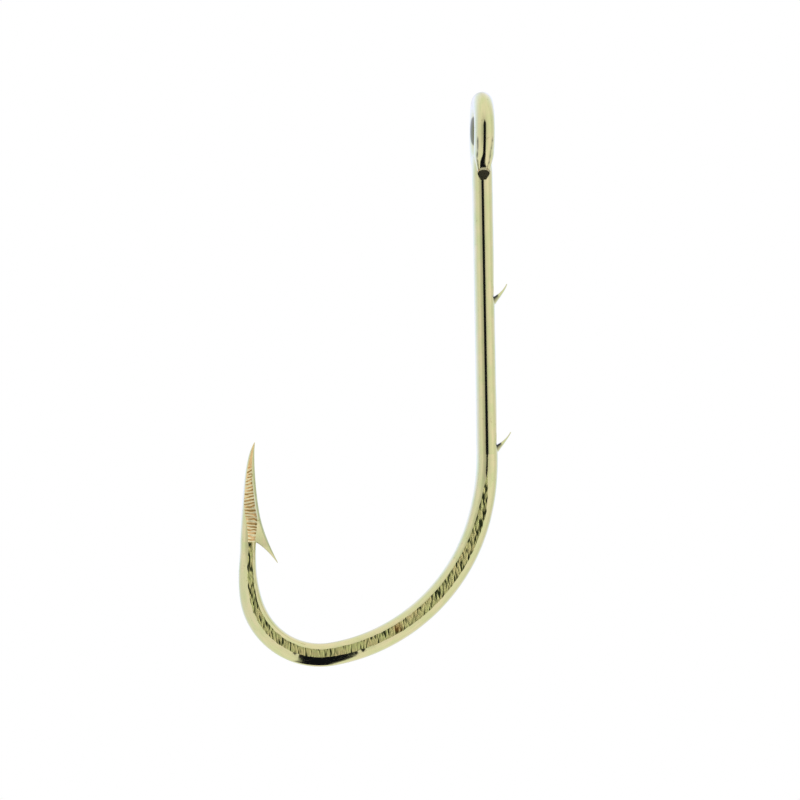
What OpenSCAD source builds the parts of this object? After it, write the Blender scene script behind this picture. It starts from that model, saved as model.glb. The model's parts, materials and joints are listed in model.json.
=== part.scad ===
// Bait-holder fish hook: one steel wire with a ringed eye, two slices raised on the shank
// to hold bait, a bend forged flat on both faces, and a barbed point.
//
// The origin is the middle of the hole in the eye, and that hole runs along X. +Z runs up
// the shank, +X is the sliced side of the shank, and the whole hook lies in the XZ plane,
// so its forged faces look along -Y and +Y. All sizes are in millimetres.
// The hook is a single wire. The modules are its regions, which meet face to face.

/* [Wire] */
// Diameter of the round wire
wire_d = 1.25; // [1:0.05:1.5]
// Width of the forged wire, in the plane of the hook
forged_w = 1.4; // [1.1:0.01:1.7]
// Thickness of the forged wire, from face to face
forged_t = 1.04; // [0.85:0.01:1.25]
// Width of the flat band on each forged face
forged_flat = 0.66; // [0.4:0.01:0.8]

/* [Eye] */
// Diameter of the hole in the eye
eye_hole_d = 2.5; // [2:0.1:3.5]
// Depth to which the wall of the hole is coined flat
eye_land_depth = 0.03; // [0.01:0.01:0.06]
// Bend radius of the wire's middle line between the shank and the eye
neck_r = 1; // [0.8:0.1:1.5]
// Part of the ring's turn over which the closing end tapers, in degrees
eye_taper_turn = 45; // [30:1:60]
// Diameter of the wire at its closing end
eye_end_d = 0.66; // [0.4:0.02:0.9]
// Gap between the closing end and the neck
eye_gap = 0.05; // [0.02:0.01:0.3]

/* [Shank] */
// Length from the middle of the eye to the start of the bend
shank_len = 19.3; // [15:0.1:30]
// Distance from the start of the bend up to the foot of the lower slice
slice_foot = 0.05; // [0.05:0.05:3]
// Distance between the feet of the two slices
slice_pitch = 8.9; // [6:0.05:10]
// Height of a slice, from its foot to its tip
slice_h = 1.26; // [0.8:0.02:2]
// How far the upper slice stands out of the wire
upper_slice_out = 0.76; // [0.4:0.01:1.2]
// How far the lower slice stands out of the wire
lower_slice_out = 0.84; // [0.4:0.01:1.2]
// Angle at which a slice leaves the shank, above level
slice_rise = 52; // [40:1:65]
// Thickness of a slice at its root, measured up the shank
slice_root = 0.5; // [0.3:0.01:0.7]
// Width of a slice at its root, across the shank
slice_w = 0.8; // [0.4:0.05:0.9]
// Depth of the cut that a slice was raised from
cut_depth = 0.11; // [0.05:0.01:0.2]
// Length of the cut that a slice was raised from
cut_len = 3.3; // [2:0.1:4.5]

/* [Bend] */
// Distance between the middle lines of the shank and the front leg
gape = 14.5; // [11:0.05:18]
// Radius where the shank runs into the bend
heel_r = 14; // [10:0.5:18]
// Turn of the wire over the heel, in degrees
heel_turn = 17.5; // [10:0.5:25]
// Turn of the wire over the main bend, in degrees
main_turn = 64; // [55:0.5:70]
// Radius of the tight corner below the point
corner_r = 4.25; // [3.5:0.05:5.5]
// Turn of the wire over the tight corner, in degrees
corner_turn = 88; // [80:0.5:90]
// Turn of the tight corner that is left when the wire starts to narrow, in degrees
narrowing_turn = 19.5; // [5:0.5:30]
// Radius where the wire straightens into the front leg
throat_r = 9; // [6:0.5:12]
// Length of the straight front leg below the barb's notch
leg_len = 1.75; // [1:0.05:3]

/* [Point] */
// Width of the wire at the barb's notch
notch_w = 0.96; // [0.7:0.01:1.1]
// Thickness of the wire at the barb's notch
notch_t = 0.8; // [0.6:0.01:1]
// Width of the flat band at the barb's notch
notch_flat = 0.4; // [0.2:0.01:0.5]
// Length from the barb's notch to the tip
point_len = 5.95; // [4.5:0.05:7.5]
// How far the wire leans towards the shank at the barb's notch
notch_lean = 0.05; // [0:0.01:0.15]
// How far the tip leans towards the shank
point_lean = 0.54; // [0.3:0.01:0.8]
// Diameter of the blunt end of the tip
tip_d = 0.04; // [0.02:0.01:0.1]
// Height of the barb's root above its notch
barb_root = 1.75; // [1.2:0.05:2.2]
// How far the point swells towards the shank between the notch and the top of the barb's root
point_swell = 0.22; // [0.1:0.01:0.3]
// How far the barb stands out of the wire
barb_out = 1.29; // [0.8:0.01:1.5]
// How far the barb's tip reaches below its notch
barb_drop = 1.28; // [0.8:0.01:1.6]
// Thickness of the barb at its root
barb_t = 0.56; // [0.3:0.02:0.7]
// Depth of the barb's seat in the wire at the notch
barb_seat = 0.08; // [0.04:0.01:0.15]

/* [Hidden] */

$fn = 96;
arc_sides = 10;         // segments on each round side of a swept section
hair_flat = 0.02;       // width of the flat where round wire starts to be forged
blade_end = 0.05;       // width and thickness of the tips of the slices and the barb
bronze = [0.77, 0.75, 0.56];
forged_bronze = [0.68, 0.67, 0.46];
cut_bronze = [0.82, 0.72, 0.5];

// Eye and neck: the ring's middle line is a circle about X, and the neck's is a circle
// that touches both it and the shank's middle line.
wire_r = wire_d / 2;
ring_r = eye_hole_d / 2 + wire_r - eye_land_depth;
neck_drop = sqrt(ring_r * ring_r + 2 * ring_r * neck_r);
neck_turn = atan(neck_drop / neck_r);
neck_lean = 90 - neck_turn;
// The closing end's outer corner stays eye_gap clear of the neck.
end_r = eye_end_d / 2;
end_reach = ring_r + end_r;
end_clear = neck_r + wire_r + eye_gap;
neck_reach = ring_r + neck_r;
end_cos = (pow(neck_reach, 2) + pow(end_reach, 2) - pow(end_clear, 2)) / (2 * neck_reach * end_reach);
end_turn = acos(end_cos) - neck_lean;
taper_start = end_turn + eye_taper_turn;

// Slices, measured up from the start of the bend
lower_foot_z = slice_foot - shank_len;
upper_foot_z = lower_foot_z + slice_pitch;

// Bend: four arcs, each tangent to the next. "turn" is how far the wire has turned from
// straight down, so it is 0 on the shank and 180 on the front leg.
turns = [0, heel_turn, heel_turn + main_turn, heel_turn + main_turn + corner_turn, 180];
other_span = heel_r * (1 - cos(turns[1])) + corner_r * (cos(turns[2]) - cos(turns[3]))
    + throat_r * (cos(turns[3]) + 1);
main_r = (gape - other_span) / (cos(turns[1]) - cos(turns[2]));
radii = [heel_r, main_r, corner_r, throat_r];
narrow_start = turns[3] - narrowing_turn;

// Front leg and point
leg_start = on_arc(3, 180);
notch = leg_start + [0, leg_len];
outer_x = notch_lean - notch_w / 2;
inner_x = notch_lean + notch_w / 2;
barb_top_x = inner_x + point_swell;
// The barb sits on a flat seat across the point's inner edge, from the notch to the barb's top.
seat = [[inner_x - barb_seat, 0], [barb_top_x, barb_root]];

// Edges of the point, as control points [x, z] from the front leg's middle line at the notch.
// The outer edge bows away from the shank, and the inner edge is slightly hollow.
outer_bow = 0.63;       // how far the outer edge's upper control stands out from the tip
outer_start = 0.14;     // how far the outer edge leans in at its lower control
inner_hollow = 0.19;    // how far the inner edge's controls stand back
outer_edge = [
    [outer_x, 0],
    [outer_x + outer_start, point_len * 0.34],
    [point_lean - outer_bow, point_len * 0.77],
    [point_lean - tip_d / 2, point_len]
];
inner_edge = [
    [barb_top_x, barb_root],
    [barb_top_x - inner_hollow, mix(barb_root, point_len, 0.3)],
    [point_lean - inner_hollow, mix(barb_root, point_len, 0.73)],
    [point_lean + tip_d / 2, point_len]
];

// Middle of arc i, as [x, z]
function arc_middle(i) = i == 0
    ? [-heel_r, -shank_len]
    : arc_middle(i - 1) + (radii[i - 1] - radii[i]) * outward(turns[i]);

// Direction from an arc's middle to the wire, as [x, z]
function outward(turn) = [cos(turn), -sin(turn)];

// Point of the wire's middle line on arc i, as [x, z]
function on_arc(i, turn) = arc_middle(i) + radii[i] * outward(turn);

// From 0 to 1 with a soft start and end
function ease(q) = q * q * (3 - 2 * q);

// Value between a and b
function mix(a, b, q) = a + (b - a) * q;

// Points on curves with three and four control points
function curve3(p, q) = pow(1 - q, 2) * p[0] + 2 * q * (1 - q) * p[1] + q * q * p[2];
function curve4(p, q) = (1 - q) * curve3([p[0], p[1], p[2]], q) + q * curve3([p[1], p[2], p[3]], q);

// Section of the wire as [u, v] points: two flats at v = -t/2 and t/2, joined by round
// sides that reach u = -w/2 and w/2
function section(w, flat, t) =
    let(side = (w - flat) / 2)
    let(r = (side * side + t * t / 4) / (2 * side))
    let(c = w / 2 - r)
    let(a = atan2(t / 2, flat / 2 - c))
    [
        for (i = [0:arc_sides]) let(b = mix(-a, a, i / arc_sides)) [c + r * cos(b), r * sin(b)],
        for (i = [0:arc_sides]) let(b = mix(a, -a, i / arc_sides)) [-c - r * cos(b), r * sin(b)]
    ];

// Section placed at [x, z], with u along the direction dir = [x, z]
function placed(at, dir, w, flat, t) = [
    for (p = section(w, flat, t)) [at[0] + p[0] * dir[0], p[1], at[1] + p[0] * dir[1]]
];

// Section of a blade of thickness t between two edges, given as [x, z]. Where the blade is
// wider than it is thick, its sides are half circles.
function across(inner, outer, t) =
    let(w = norm(outer - inner))
    placed((inner + outer) / 2, (outer - inner) / w, w, max(w / 8, w - t), t);

// Solid through a list of sections that have the same number of points
module loft(rings) {
    sides = len(rings[0]);
    last = (len(rings) - 1) * sides;
    walls = [
        for (i = [0:len(rings) - 2], j = [0:sides - 1])
            let(a = i * sides + j, b = i * sides + (j + 1) % sides)
            each [[a, b, b + sides], [a, b + sides, a + sides]]
    ];
    start_cap = [for (j = [sides - 1:-1:0]) j];
    end_cap = [for (j = [0:sides - 1]) last + j];
    polyhedron(points = [for (ring = rings) each ring], faces = concat(walls, [start_cap, end_cap]));
}

// Wire bent about X: angles are measured from straight down, and grow towards +Y
module bent_about_x(r, from, to) {
    rotate([from - 90, 0, 0])
        rotate([0, 90, 0])
            rotate([0, 0, 90])
                rotate_extrude(angle = to - from)
                    translate([r, 0])
                        circle(d = wire_d);
}

// Forged wire along arc i of the bend
module forged_arc(i, from, to) {
    middle = arc_middle(i);
    translate([middle[0], 0, middle[1]])
        rotate([90, 0, 0])
            rotate([0, 0, -to])
                rotate_extrude(angle = to - from)
                    translate([radii[i], 0])
                        forged_section();
}

// Exact form of section(forged_w, forged_flat, forged_t)
module forged_section() {
    side = (forged_w - forged_flat) / 2;
    r = (side * side + forged_t * forged_t / 4) / (2 * side);
    intersection() {
        square([forged_w, forged_t], center = true);
        union() {
            translate([forged_w / 2 - r, 0])
                circle(r = r);
            translate([r - forged_w / 2, 0])
                circle(r = r);
            square([forged_flat, forged_t], center = true);
        }
    }
}

module eye() {
    color(bronze)
        difference() {
            bent_about_x(ring_r, neck_lean, 360 - taper_start);
            rotate([0, 90, 0])
                cylinder(d = eye_hole_d, h = 2 * wire_d, center = true);
        }
}

module eye_end() {
    steps = 12;
    color(bronze)
        loft([
            for (i = [0:steps])
                let(q = i / steps, turn = mix(taper_start, end_turn, q))
                let(d = mix(wire_d, eye_end_d, q))
                [
                    for (j = [0:23])
                        let(b = 360 * j / 24, reach = ring_r + d / 2 * cos(b))
                        [-d / 2 * sin(b), -reach * sin(turn), -reach * cos(turn)]
                ]
        ]);
}

module neck() {
    color(bronze)
        translate([0, neck_r, -neck_drop])
            bent_about_x(neck_r, 270 - neck_turn, 270);
}

module shank() {
    color(bronze)
        difference() {
            translate([0, 0, -shank_len])
                cylinder(d = wire_d, h = shank_len - neck_drop);
            slice_cut(upper_foot_z + slice_root);
            slice_cut(lower_foot_z + slice_root);
        }
}

// Shallow sloping cut above a slice's root
module slice_cut(z) {
    translate([wire_r, wire_r, z])
        rotate([90, 0, 0])
            linear_extrude(height = wire_d)
                polygon([[-cut_depth, 0], [wire_r, 0], [wire_r, cut_len], [0, cut_len]]);
}

// Blade that leaves the shank at foot_z and curves up to its tip
module slice(foot_z, out) {
    steps = 10;
    buried = 0.3;           // depth to which the blade is carried into the wire before it is trimmed
    slope = tan(slice_rise);
    tip = [wire_r + out, foot_z + slice_h];
    under = [[wire_r - buried, foot_z - buried * slope], [tip[0], foot_z + out * slope], tip];
    over = [
        [wire_r - buried, foot_z + slice_root * 0.8],
        [wire_r + out * 0.58, foot_z + slice_h * 0.56],
        tip - [blade_end, 0]
    ];
    color(cut_bronze)
        difference() {
            loft([
                for (i = [0:steps])
                    let(q = i / steps)
                    across(curve3(over, q), curve3(under, q), mix(slice_w, blade_end, q))
            ]);
            shank();
            translate([0, 0, foot_z - 1])
                cylinder(d = wire_d, h = 1);
        }
}

module upper_slice() {
    slice(upper_foot_z, upper_slice_out);
}

module lower_slice() {
    slice(lower_foot_z, lower_slice_out);
}

// Round wire that is pressed flat over the length of the heel
module heel() {
    steps = 12;
    color(forged_bronze)
        loft([
            for (i = [0:steps])
                let(q = i / steps, turn = mix(turns[0], turns[1], q), pressed = ease(q))
                placed(
                    on_arc(0, turn), outward(turn),
                    mix(wire_d, forged_w, pressed),
                    mix(hair_flat, forged_flat, q),
                    mix(wire_d, forged_t, pressed)
                )
        ]);
}

module bend() {
    color(forged_bronze)
        forged_arc(1, turns[1], turns[2]);
}

// Tight corner below the point
module front_bend() {
    color(forged_bronze)
        forged_arc(2, turns[2], narrow_start);
}

// Narrowing wire from the tight corner up the front leg to the barb's notch
module throat() {
    steps = 6;
    arc_len = 2 * PI / 360;
    corner_len = corner_r * narrowing_turn * arc_len;
    throat_len = throat_r * (180 - turns[3]) * arc_len;
    total = corner_len + throat_len + leg_len;
    corner = [
        for (i = [0:steps])
            let(q = i / steps, turn = mix(narrow_start, turns[3], q))
            [on_arc(2, turn), turn, corner_len * q]
    ];
    straightening = [
        for (i = [1:steps])
            let(q = i / steps, turn = mix(turns[3], 180, q))
            [on_arc(3, turn), turn, corner_len + throat_len * q]
    ];
    leg = [
        for (i = [1:steps])
            let(q = i / steps)
            [leg_start + [notch_lean * ease(q), leg_len * q], 180, corner_len + throat_len + leg_len * q]
    ];
    color(forged_bronze)
        loft([
            for (s = concat(corner, straightening, leg))
                let(done = ease(s[2] / total))
                placed(
                    s[0], outward(s[1]),
                    mix(forged_w, notch_w, done),
                    mix(forged_flat, notch_flat, done),
                    mix(forged_t, notch_t, done)
                )
        ]);
}

// Section of the point between its two edges, which keeps the proportions of the notch
function point_section(outer, inner) =
    let(w = norm(outer - inner), part = w / notch_w)
    placed(notch + (outer + inner) / 2, (outer - inner) / w, w, notch_flat * part, notch_t * part);

module point() {
    steps = 14;
    root_part = barb_root / point_len;
    color(cut_bronze)
        difference() {
            loft([
                for (i = [0:3])
                    let(q = i / 3, outer = curve4(outer_edge, q * root_part))
                    point_section(outer, [mix(inner_x, barb_top_x, q), barb_root * q]),
                for (i = [1:steps])
                    let(q = i / steps)
                    point_section(curve4(outer_edge, mix(root_part, 1, q)), curve4(inner_edge, q))
            ]);
            translate([notch[0], notch_t / 2, notch[1]])
                rotate([90, 0, 0])
                    linear_extrude(height = notch_t)
                        polygon([seat[0], [notch_w, 0], [notch_w, barb_root], seat[1]]);
        }
}

module barb() {
    steps = 10;
    tip = [inner_x + barb_out, -barb_drop];
    outer = [seat[1], [barb_top_x + barb_out * 0.16, barb_root * 0.26], tip];
    under = [seat[0], [inner_x + barb_out * 0.45, -barb_drop * 0.3], tip - [blade_end, 0]];
    color(cut_bronze)
        loft([
            for (i = [0:steps])
                let(q = i / steps)
                across(notch + curve3(under, q), notch + curve3(outer, q), mix(barb_t, blade_end, q))
        ]);
}

eye();
eye_end();
neck();
shank();
upper_slice();
lower_slice();
heel();
bend();
front_bend();
throat();
point();
barb();
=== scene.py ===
"""Looks of the bait-holder hook. Each region of the wire is built again as a fine mesh in
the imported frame, with die marks, grinding marks and cuts as real relief, and stands for
the CAD node of that region. Lengths are in millimetres until a mesh is made."""

import json
import math

import bpy
from mathutils import Matrix, Vector, noise


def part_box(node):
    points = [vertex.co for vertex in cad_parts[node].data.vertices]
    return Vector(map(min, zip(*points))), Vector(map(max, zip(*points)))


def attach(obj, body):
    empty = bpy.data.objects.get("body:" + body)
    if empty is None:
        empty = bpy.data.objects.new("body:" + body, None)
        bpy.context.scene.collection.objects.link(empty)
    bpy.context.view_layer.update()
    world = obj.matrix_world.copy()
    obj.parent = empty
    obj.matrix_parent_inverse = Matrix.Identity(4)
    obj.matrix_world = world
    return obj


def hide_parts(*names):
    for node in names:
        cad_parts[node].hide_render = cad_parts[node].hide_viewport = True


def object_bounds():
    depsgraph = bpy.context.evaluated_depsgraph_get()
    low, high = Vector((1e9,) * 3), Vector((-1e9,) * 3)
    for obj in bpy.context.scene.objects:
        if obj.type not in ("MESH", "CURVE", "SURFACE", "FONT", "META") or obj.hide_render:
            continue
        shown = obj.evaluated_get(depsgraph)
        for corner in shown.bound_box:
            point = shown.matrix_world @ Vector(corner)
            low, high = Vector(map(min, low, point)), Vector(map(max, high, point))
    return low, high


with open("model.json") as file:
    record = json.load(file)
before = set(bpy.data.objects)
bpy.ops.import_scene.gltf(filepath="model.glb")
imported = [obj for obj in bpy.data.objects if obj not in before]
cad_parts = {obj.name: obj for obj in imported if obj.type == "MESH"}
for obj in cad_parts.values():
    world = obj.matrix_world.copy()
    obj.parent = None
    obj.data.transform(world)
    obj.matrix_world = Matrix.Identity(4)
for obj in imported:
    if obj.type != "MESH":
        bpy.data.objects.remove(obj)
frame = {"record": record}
cad_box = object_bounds()

MM = 0.001


def node_box(node):
    """Lowest and highest corner of a CAD node in millimetres."""
    return [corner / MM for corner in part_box(node)]


# --- Sizes that the frame gives -----------------------------------------------------------

_, ring_high = node_box("eye")
shank_low, shank_high = node_box("shank")
point_low, point_high = node_box("point")

WIRE_R = ring_high.x
RING_R = ring_high.z - WIRE_R
SHANK_LEN = -shank_low.z
NECK_DROP = -shank_high.z
NECK_R = (NECK_DROP ** 2 - RING_R ** 2) / (2 * RING_R)
NECK_TURN = math.degrees(math.atan(NECK_DROP / NECK_R))
NECK_LEAN = 90 - NECK_TURN
POINT_LEN = point_high.z - point_low.z
HOLE_R = frame["record"]["mounts"][0]["dims"]["r_mm"]
LAND_DEPTH = HOLE_R - (RING_R - WIRE_R)

# --- Sizes of the CAD design that its boxes don't show --------------------------------------

GAPE = 14.5
ARC_R = [14, None, 4.25, 9]             # heel, main bend, tight corner, throat
ARC_TURN = [17.5, 64, 88, 10.5]
NARROWING_TURN = 19.5
FORGED_W, FORGED_T = 1.4, 1.04
LEG_LEN = 1.75
NOTCH_W, NOTCH_T, NOTCH_LEAN = 0.96, 0.8, 0.05
POINT_LEAN, TIP_D = 0.54, 0.04
BARB_ROOT, BARB_OUT, BARB_DROP = 1.75, 1.29, 1.28
BARB_SEAT, POINT_SWELL = 0.08, 0.22
END_TURN, TAPER_TURN = 15.4, 45
SLICE_FOOT, SLICE_PITCH, SLICE_H, SLICE_W = 0.05, 8.9, 1.26, 0.8
SLICE_OUT = {"upper": 0.76, "lower": 0.84}
SLICE_RISE, SLICE_ROOT, BLADE_END = 52, 0.5, 0.05
CUT_DEPTH, CUT_LEN = 0.11, 3.3

# --- Small shapes and finish ----------------------------------------------------------------

STEP = 0.03             # length of a mesh step along the forged wire
PLAIN_STEP = 0.12       # length of a mesh step along the plain wire
SIDE_COLUMNS, FLAT_COLUMNS = 14, 20

MARK_DEPTH = 0.022      # depth of the deepest die marks
GRIND_DEPTH = 0.014     # depth of the grinding marks on the point
GRIND_PITCH = 0.19      # distance from one grinding mark to the next
GRIND_SLOPE = (-0.25, 0.5)          # slope of the grinding marks at the notch and at the top
STAIN_PLACE = (12.3, -0.12, -0.52)  # brown stain on the front band, in wire coordinates

EDGE_WANDER = 0.04      # how far the edges of the forged band wander
WANDER_LEN = 0.3        # and over what length
BAND_WHOLE = 0.3        # width from which the forged band counts as whole
RELIEF_WIDTH = (0.2, 0.8)           # shares of that width between which its marks deepen
ROUND_CORNER = 89       # how far round its ellipse a round side meets the flat band
CORNER = 65             # the same for a forged side
CORNER_START, CORNER_LEN = 1.0, 1.2     # where along the bend the one turns into the other
STRAIGHTEST = 0.5       # how straight the outer side is drawn round the front of the hook
STRAIGHT_START, STRAIGHT_LEN, STRAIGHT_FADE = 14, 6, 2.5

SHANK_SWELL = 0.03      # how far each side of the shank swells before the heel
SWELL_LEN = 5

EYE_SHIFT = 0.06        # how far the top of the eye leans to the side
TAPER_FIRST, TAPER_LAST = 54, 27    # turns at which the eye's wire starts and stops narrowing
CUT_TURN = 28.3         # turn at which the cut on the eye's end starts
CUT_TOP = Vector((-1.36, -2.13))    # y and z of the cut's upper and lower end
CUT_FOOT = Vector((-0.56, -2.94))
CUT_HALF = 0.385        # half width of the eye's wire at the cut
FORE_PULLS = (0.45, Vector((-0.19, 0.28)))  # shape of the end's front curve: how far it keeps
BACK_PULLS = (0.5, Vector((0, 1.0)))        # the ring's direction, and how it meets the cut
FRONT_HEAVY = 0.45      # how much wider the end's section is towards its front
HEAVY_WIDEST = 1.084    # widest place of that section, when a round one has 1
BURR = 0.17             # share of the cut that its bright burr takes
BURR_NARROW = 0.92      # width of the cut inside its burr, as a share
BURR_SINK = Vector((0.03, 0.02))    # how far the cut's face is sunk behind the burr

EYE_SHADE_TURN = 100        # middle of the painted shade inside the eye, and half its length
EYE_SHADE_REACH = 50
EYE_SHADE_SPREAD = 82       # how far it spreads round the wire, to each side
EYE_SHADE_EDGE = 12         # width of its soft edge
EYE_SHADE_DARK = 0.62
PINCH_TOP = 95          # turn at which the two painted crease shades down the front of the eye begin turn over which they darken
PINCH_FADE = 25         # turn over which they deepen
PINCH_TURNS = (35, 85)  # turns between which they draw apart
PINCH_LEFT = (0.66, 0.72)           # their places across the wire at those turns
PINCH_RIGHT = (-0.42, -0.72)
PINCH_HALF = 0.17       # their half width
CREASE_SHADE_DARK = 0.85


def mix(a, b, q):
    """a where q is 0, b where q is 1."""
    return a + (b - a) * q


def ease(q):
    """Smooth rise from 0 to 1 as q goes from 0 to 1, and level on both sides."""
    q = min(max(q, 0), 1)
    return q * q * (3 - 2 * q)


def inside(q):
    """1 in the middle of a band, falling to 0 at its edges, q = 0 and q = 1."""
    return min(1, max(0, 6 * q * (1 - q)))


def curve3(p, q):
    """Point on a curve with three control points."""
    return (1 - q) ** 2 * p[0] + 2 * q * (1 - q) * p[1] + q * q * p[2]


def curve4(p, q):
    """Point on a curve with four control points."""
    return (1 - q) * curve3(p[:3], q) + q * curve3(p[1:], q)


# --- Course of the bend: four arcs, each tangent to the next ---------------------------------

turns = [sum(ARC_TURN[:i]) for i in range(5)]


def cos_deg(turn):
    return math.cos(math.radians(turn))


def outward(turn):
    """Direction from an arc's middle to the wire, in the XZ plane."""
    return Vector((cos_deg(turn), -math.sin(math.radians(turn))))


other_span = sum(ARC_R[i] * (cos_deg(turns[i]) - cos_deg(turns[i + 1])) for i in (0, 2, 3))
ARC_R[1] = (GAPE - other_span) / (cos_deg(turns[1]) - cos_deg(turns[2]))
arc_middle = [Vector((-ARC_R[0], -SHANK_LEN))]
for i in (1, 2, 3):
    arc_middle.append(arc_middle[-1] + (ARC_R[i - 1] - ARC_R[i]) * outward(turns[i]))
arc_start = [0]
for i in range(4):
    arc_start.append(arc_start[-1] + math.radians(ARC_TURN[i]) * ARC_R[i])
leg_start = arc_middle[3] + ARC_R[3] * outward(180)
notch = leg_start + Vector((0, LEG_LEN))
notch_along = arc_start[4] + LEG_LEN


def arc_stations(i, start, end):
    """(place, outward direction, distance along the bend) at even steps over part of arc i."""
    count = max(2, round(math.radians(end - start) * ARC_R[i] / STEP))
    for k in range(count + 1):
        turn = mix(start, end, k / count)
        along = arc_start[i] + math.radians(turn - turns[i]) * ARC_R[i]
        yield arc_middle[i] + ARC_R[i] * outward(turn), outward(turn), along


# --- Marks left by the tools --------------------------------------------------------------

def strokes(x, z, lean, width, length, seed):
    """Noise drawn out into strokes that lean by so many degrees from straight up."""
    c, s = math.cos(math.radians(lean)), math.sin(math.radians(lean))
    across, along = x * c + z * s, z * c - x * s
    return noise.noise(Vector((across / width, along / length, seed)))


def die_mark(x, z, weight, seed):
    """Depth of the forging die's marks, from 0 to 1. They run nearly straight up the hook,
    and there are more of them where weight is higher."""
    warp = 0.05 * noise.noise(Vector((x / 0.5, z / 0.5, seed + 5)))
    coarse = strokes(x + warp, z, 9, 0.095, 0.6, seed)
    cross = strokes(x - warp, z, -8, 0.11, 0.5, seed + 11)
    fine = strokes(x, z, 4, 0.06, 0.3, seed + 23)
    return min(max(weight + 1.2 * coarse + 0.8 * cross + 0.45 * fine, 0), 1)


def grinding_mark(x, z, seed):
    """Depth of the wheel's marks across the point, from 0 to 1. They lean more and more
    upwards to the right towards the tip."""
    warp = 0.5 * noise.noise(Vector((x / 0.4, z / 0.4, seed + 5)))
    slope = mix(*GRIND_SLOPE, z / GROUND_TOP)
    wave = math.cos(2 * math.pi * ((z - slope * x) / GRIND_PITCH + warp))
    fine = strokes(x, z, 78, 0.09, 0.5, seed + 3)
    return min(max(0.48 + 0.5 * wave + 0.9 * fine, 0), 1)


# --- Meshes -------------------------------------------------------------------------------

def loft(name, rings, strips, replaces=(), last_rows=(), cap=None):
    """Closed piece through rings of (place, wire coordinates, mark depth, which on the eye and
    the slices is painted shade instead). strips gives the material of the strip of faces that
    starts at each point of a ring; last_rows gives those of the last rows of faces, and cap that of
    the closing face."""
    sides = len(strips)
    points = [point for ring in rings for point in ring]
    faces = []
    used = []
    for i in range(len(rings) - 1):
        row = i - (len(rings) - 1 - len(last_rows))
        for j in range(sides):
            a, b = i * sides + j, i * sides + (j + 1) % sides
            faces.append((a, b, b + sides, a + sides))
            used.append(last_rows[row] if row >= 0 else strips[j])
    last = (len(rings) - 1) * sides
    faces.append(tuple(range(sides - 1, -1, -1)))
    faces.append(tuple(last + j for j in range(sides)))
    used += [strips[0], cap or strips[0]]
    mesh = bpy.data.meshes.new(name)
    mesh.from_pydata([Vector(place) * MM for place, _, _ in points], [], faces)
    names = sorted(set(used))
    for key in names:
        mesh.materials.append(materials[key])
    for polygon, key in zip(mesh.polygons, used):
        polygon.material_index = names.index(key)
        polygon.use_smooth = True
    mesh.attributes.new("wire_mm", "FLOAT_VECTOR", "POINT")
    mesh.attributes["wire_mm"].data.foreach_set("vector", [c for _, wire, _ in points for c in wire])
    mesh.attributes.new("mark_and_painted_shade", "FLOAT", "POINT")
    mesh.attributes["mark_and_painted_shade"].data.foreach_set("value", [mark_and_painted_shade for _, _, mark_and_painted_shade in points])
    mark_sharp_edges(mesh, sides, strips, last, len(last_rows))
    piece = bpy.data.objects.new(name, mesh)
    bpy.context.scene.collection.objects.link(piece)
    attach(piece, "root")
    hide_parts(*replaces)


def mark_sharp_edges(mesh, sides, strips, last, last_rows):
    """Edges between strips of different materials, around both ends and around the last
    rows are crisp."""
    last -= sides * last_rows
    borders = {j for j in range(sides) if strips[j] != strips[j - 1]}
    for edge in mesh.edges:
        a, b = edge.vertices
        around = a // sides == b // sides
        at_end = max(a, b) < sides or min(a, b) >= last
        edge.use_edge_sharp = (around and at_end) or (a % sides == b % sides and a % sides in borders)


def side_points(edge, w, t, corner, straight):
    """(u, v) down the round side of a wire w wide and t thick, from its back to its front. The
    side is part of an ellipse, drawn partly straight, and meets the flat bands edge away
    from the middle line."""
    reach = (w / 2 - edge) / (1 - math.cos(corner))
    rise = t / 2 / math.sin(corner)
    for k in range(SIDE_COLUMNS):
        b = mix(-corner, corner, k / SIDE_COLUMNS)
        inward = reach * (1 - math.cos(b))
        chord = math.copysign(t / 2 * inward / (w / 2 - edge), b)
        yield w / 2 - inward, mix(rise * math.sin(b), chord, straight)


def forged_section(w, t, inner, outer, corner, straight):
    """(u, v) around a forged wire: outer side, back band, inner side, front band. The bands
    reach from u = inner to u = outer."""
    ring = list(side_points(outer, w, t, corner, straight))
    ring += [(mix(outer, inner, k / FLAT_COLUMNS), t / 2) for k in range(FLAT_COLUMNS)]
    ring += [(-u, -v) for u, v in side_points(-inner, w, t, corner, 0)]
    ring += [(mix(inner, outer, k / FLAT_COLUMNS), -t / 2) for k in range(FLAT_COLUMNS)]
    return ring


FORGED_STRIPS = (
    ["bronze"] * SIDE_COLUMNS + ["forged"] * FLAT_COLUMNS
    + ["bronze"] * SIDE_COLUMNS + ["forged"] * FLAT_COLUMNS
)

# How far the band reaches inwards and outwards, and how heavy its marks are, at places
# along the bend. It starts as a hair line, and moves inwards round the front of the hook.
BAND = [
    (1.2, -0.01, 0.01, 0.5),
    (2.0, -0.15, 0.10, 0.7),
    (3.4, -0.22, 0.27, 0.62),
    (7.0, -0.32, 0.25, 0.48),
    (11.0, -0.34, 0.22, 0.32),
    (16.5, -0.37, 0.11, 0.26),
    (21.0, -0.36, 0.11, 0.34),
    (24.0, -0.33, 0.06, 0.52),
    (25.8, -0.28, 0.01, 0.5),
    (26.1, -0.27, 0, 0.25),
    (26.6, -0.26, -0.01, 0.2),
]


def band_at(along):
    """Inner edge, outer edge and weight of the marks of the band at a place along the bend."""
    if along <= BAND[0][0]:
        return BAND[0][1:]
    for low, high in zip(BAND, BAND[1:]):
        if along <= high[0]:
            q = (along - low[0]) / (high[0] - low[0])
            return tuple(mix(a, b, q) for a, b in zip(low[1:], high[1:]))
    return BAND[-1][1:]


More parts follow.
